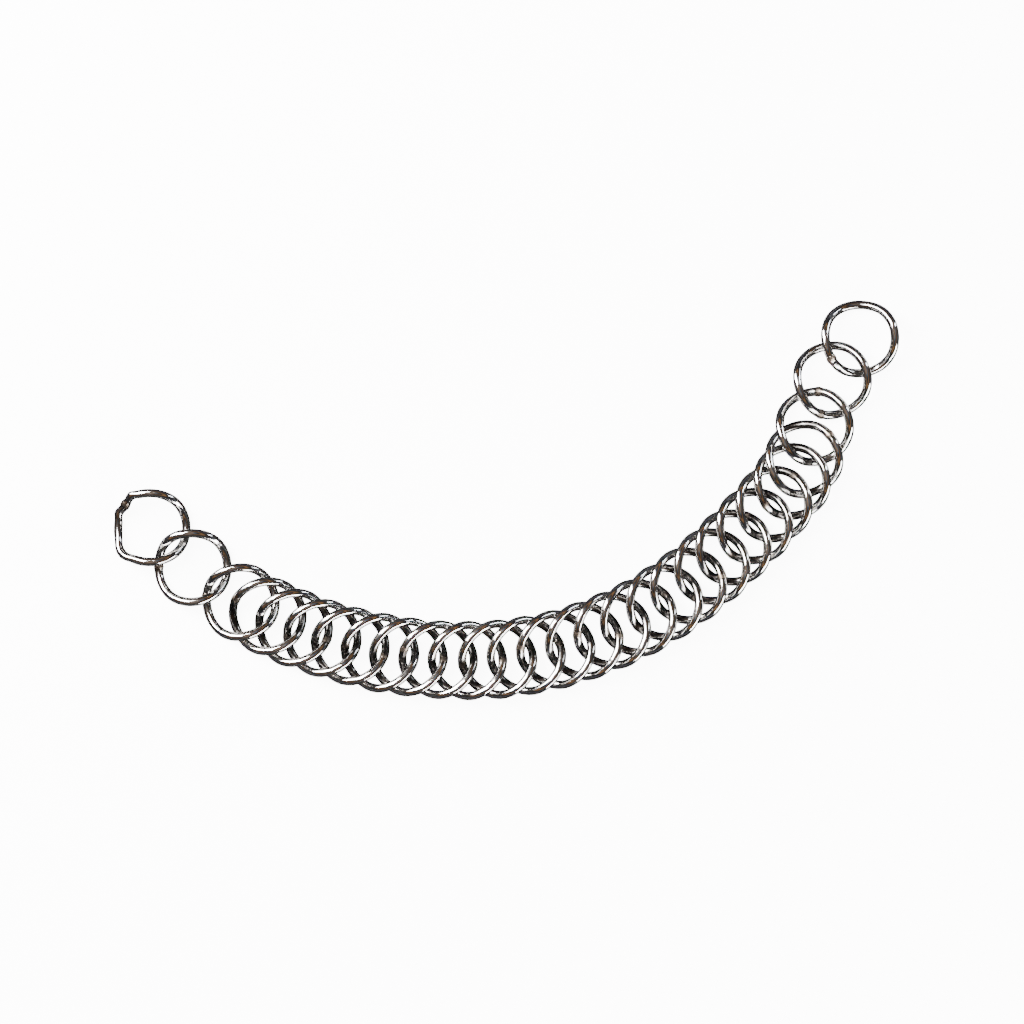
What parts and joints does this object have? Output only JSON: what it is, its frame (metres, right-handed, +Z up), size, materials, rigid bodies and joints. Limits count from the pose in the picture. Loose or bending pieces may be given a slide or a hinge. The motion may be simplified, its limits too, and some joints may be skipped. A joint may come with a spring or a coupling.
{
  "type": "curb chain",
  "caption": "Flattened double-link curb chain of twisted round-wire rings, with single rings at both ends for a bit's curb hooks.",
  "frame": {"origin": "on the surface the chain lies on, under the middle of its outline", "axes": "+X to the right along the chain's longest extent, +Y away from the viewer, +Z up off the surface"},
  "size_m": [0.1972, 0.1012, 0.0069],
  "materials": {
    "ring_steel": "polished stainless steel wire"
  },
  "bodies": {
    "left_end_ring": {"left_end_ring": "ring_steel"},
    "left_second_ring": {"left_second_ring": "ring_steel"},
    "left_third_ring": {"left_third_ring": "ring_steel"},
    "double_ring_01": {"double_ring_01": "ring_steel"},
    "double_ring_02": {"double_ring_02": "ring_steel"},
    "double_ring_03": {"double_ring_03": "ring_steel"},
    "double_ring_04": {"double_ring_04": "ring_steel"},
    "double_ring_05": {"double_ring_05": "ring_steel"},
    "double_ring_06": {"double_ring_06": "ring_steel"},
    "double_ring_07": {"double_ring_07": "ring_steel"},
    "double_ring_08": {"double_ring_08": "ring_steel"},
    "double_ring_09": {"double_ring_09": "ring_steel"},
    "double_ring_10": {"double_ring_10": "ring_steel"},
    "double_ring_11": {"double_ring_11": "ring_steel"},
    "double_ring_12": {"double_ring_12": "ring_steel"},
    "double_ring_13": {"double_ring_13": "ring_steel"},
    "double_ring_14": {"double_ring_14": "ring_steel"},
    "double_ring_15": {"double_ring_15": "ring_steel"},
    "double_ring_16": {"double_ring_16": "ring_steel"},
    "double_ring_17": {"double_ring_17": "ring_steel"},
    "double_ring_18": {"double_ring_18": "ring_steel"},
    "double_ring_19": {"double_ring_19": "ring_steel"},
    "double_ring_20": {"double_ring_20": "ring_steel"},
    "double_ring_21": {"double_ring_21": "ring_steel"},
    "double_ring_22": {"double_ring_22": "ring_steel"},
    "right_third_ring": {"right_third_ring": "ring_steel"},
    "right_second_ring": {"right_second_ring": "ring_steel"},
    "right_end_ring": {"right_end_ring": "ring_steel"}
  },
  "joints": [
    {"name": "double_13_sway", "type": "hinge", "parent": "double_ring_12", "child": "double_ring_13", "pos_m": [0.02352, -0.03427, 0.00345], "axis": [0, 0, 1], "range_deg": [-8, 8]},
    {"name": "double_14_curl", "type": "hinge", "parent": "double_ring_13", "child": "double_ring_14", "pos_m": [0.03032, -0.0313, 0.00345], "axis": [0.4384, -0.8988, 0], "range_deg": [-8, 8]},
    {"name": "double_15_sway", "type": "hinge", "parent": "double_ring_14", "child": "double_ring_15", "pos_m": [0.03689, -0.02775, 0.00345], "axis": [0, 0, 1], "range_deg": [-8, 8]},
    {"name": "double_16_curl", "type": "hinge", "parent": "double_ring_15", "child": "double_ring_16", "pos_m": [0.04311, -0.02371, 0.00345], "axis": [0.5793, -0.8151, 0], "range_deg": [-8, 8]},
    {"name": "double_17_sway", "type": "hinge", "parent": "double_ring_16", "child": "double_ring_17", "pos_m": [0.04904, -0.01916, 0.00345], "axis": [0, 0, 1], "range_deg": [-8, 8]},
    {"name": "double_18_curl", "type": "hinge", "parent": "double_ring_17", "child": "double_ring_18", "pos_m": [0.05464, -0.01429, 0.00345], "axis": [0.6782, -0.7349, 0], "range_deg": [-8, 8]},
    {"name": "double_19_sway", "type": "hinge", "parent": "double_ring_18", "child": "double_ring_19", "pos_m": [0.05992, -0.00915, 0.00345], "axis": [0, 0, 1], "range_deg": [-8, 8]},
    {"name": "double_20_curl", "type": "hinge", "parent": "double_ring_19", "child": "double_ring_20", "pos_m": [0.065, -0.00366, 0.00345], "axis": [0.7501, -0.6613, 0], "range_deg": [-8, 8]},
    {"name": "double_21_sway", "type": "hinge", "parent": "double_ring_20", "child": "double_ring_21", "pos_m": [0.06971, 0.00194, 0.00345], "axis": [0, 0, 1], "range_deg": [-8, 8]},
    {"name": "double_22_curl", "type": "hinge", "parent": "double_ring_21", "child": "double_ring_22", "pos_m": [0.0735, 0.0076, 0.00345], "axis": [0.8796, -0.4756, 0], "range_deg": [-4, 4]},
    {"name": "right_third_sway", "type": "hinge", "parent": "double_ring_22", "child": "right_third_ring", "pos_m": [0.07634, 0.01448, 0.00345], "axis": [0, 0, 1], "range_deg": [-6, 6]},
    {"name": "right_second_curl", "type": "hinge", "parent": "right_third_ring", "child": "right_second_ring", "pos_m": [0.0798, 0.02445, 0.00345], "axis": [0.9403, -0.3404, 0], "range_deg": [-60, 60]},
    {"name": "right_end_sway", "type": "hinge", "parent": "right_second_ring", "child": "right_end_ring", "pos_m": [0.0854, 0.03559, 0.00345], "axis": [0, 0, 1], "range_deg": [-30, 30]},
    {"name": "double_11_curl", "type": "hinge", "parent": "double_ring_12", "child": "double_ring_11", "pos_m": [0.01651, -0.03668, 0.00345], "axis": [-0.2857, 0.9583, 0], "range_deg": [-8, 8]},
    {"name": "double_10_sway", "type": "hinge", "parent": "double_ring_11", "child": "double_ring_10", "pos_m": [0.00927, -0.03852, 0.00345], "axis": [0, 0, -1], "range_deg": [-8, 8]},
    {"name": "double_09_curl", "type": "hinge", "parent": "double_ring_10", "child": "double_ring_09", "pos_m": [0.00195, -0.03975, 0.00345], "axis": [-0.1253, 0.9921, 0], "range_deg": [-8, 8]},
    {"name": "double_08_sway", "type": "hinge", "parent": "double_ring_09", "child": "double_ring_08", "pos_m": [-0.00544, -0.04037, 0.00345], "axis": [0, 0, -1], "range_deg": [-8, 8]},
    {"name": "double_07_curl", "type": "hinge", "parent": "double_ring_08", "child": "double_ring_07", "pos_m": [-0.01291, -0.04046, 0.00345], "axis": [0.0209, 0.9998, 0], "range_deg": [-8, 8]},
    {"name": "double_06_sway", "type": "hinge", "parent": "double_ring_07", "child": "double_ring_06", "pos_m": [-0.02037, -0.04006, 0.00345], "axis": [0, 0, -1], "range_deg": [-8, 8]},
    {"name": "double_05_curl", "type": "hinge", "parent": "double_ring_06", "child": "double_ring_05", "pos_m": [-0.02769, -0.0392, 0.00345], "axis": [0.1495, 0.9888, 0], "range_deg": [-8, 8]},
    {"name": "double_04_sway", "type": "hinge", "parent": "double_ring_05", "child": "double_ring_04", "pos_m": [-0.03499, -0.03785, 0.00345], "axis": [0, 0, -1], "range_deg": [-8, 8]},
    {"name": "double_03_curl", "type": "hinge", "parent": "double_ring_04", "child": "double_ring_03", "pos_m": [-0.04228, -0.03601, 0.00345], "axis": [0.2756, 0.9613, 0], "range_deg": [-8, 8]},
    {"name": "double_02_sway", "type": "hinge", "parent": "double_ring_03", "child": "double_ring_02", "pos_m": [-0.04939, -0.03372, 0.00345], "axis": [0, 0, -1], "range_deg": [-8, 8]},
    {"name": "double_01_curl", "type": "hinge", "parent": "double_ring_02", "child": "double_ring_01", "pos_m": [-0.05625, -0.03102, 0.00345], "axis": [0.3971, 0.9178, 0], "range_deg": [-8, 8]},
    {"name": "left_third_sway", "type": "hinge", "parent": "double_ring_01", "child": "left_third_ring", "pos_m": [-0.06296, -0.02785, 0.00345], "axis": [0, 0, -1], "range_deg": [-6, 6]},
    {"name": "left_second_curl", "type": "hinge", "parent": "left_third_ring", "child": "left_second_ring", "pos_m": [-0.07248, -0.02178, 0.00345], "axis": [0.5779, 0.8161, 0], "range_deg": [-40, 40]},
    {"name": "left_end_sway", "type": "hinge", "parent": "left_second_ring", "child": "left_end_ring", "pos_m": [-0.08374, -0.01247, 0.00345], "axis": [0, 0, -1], "range_deg": [-30, 30]}
  ]
}
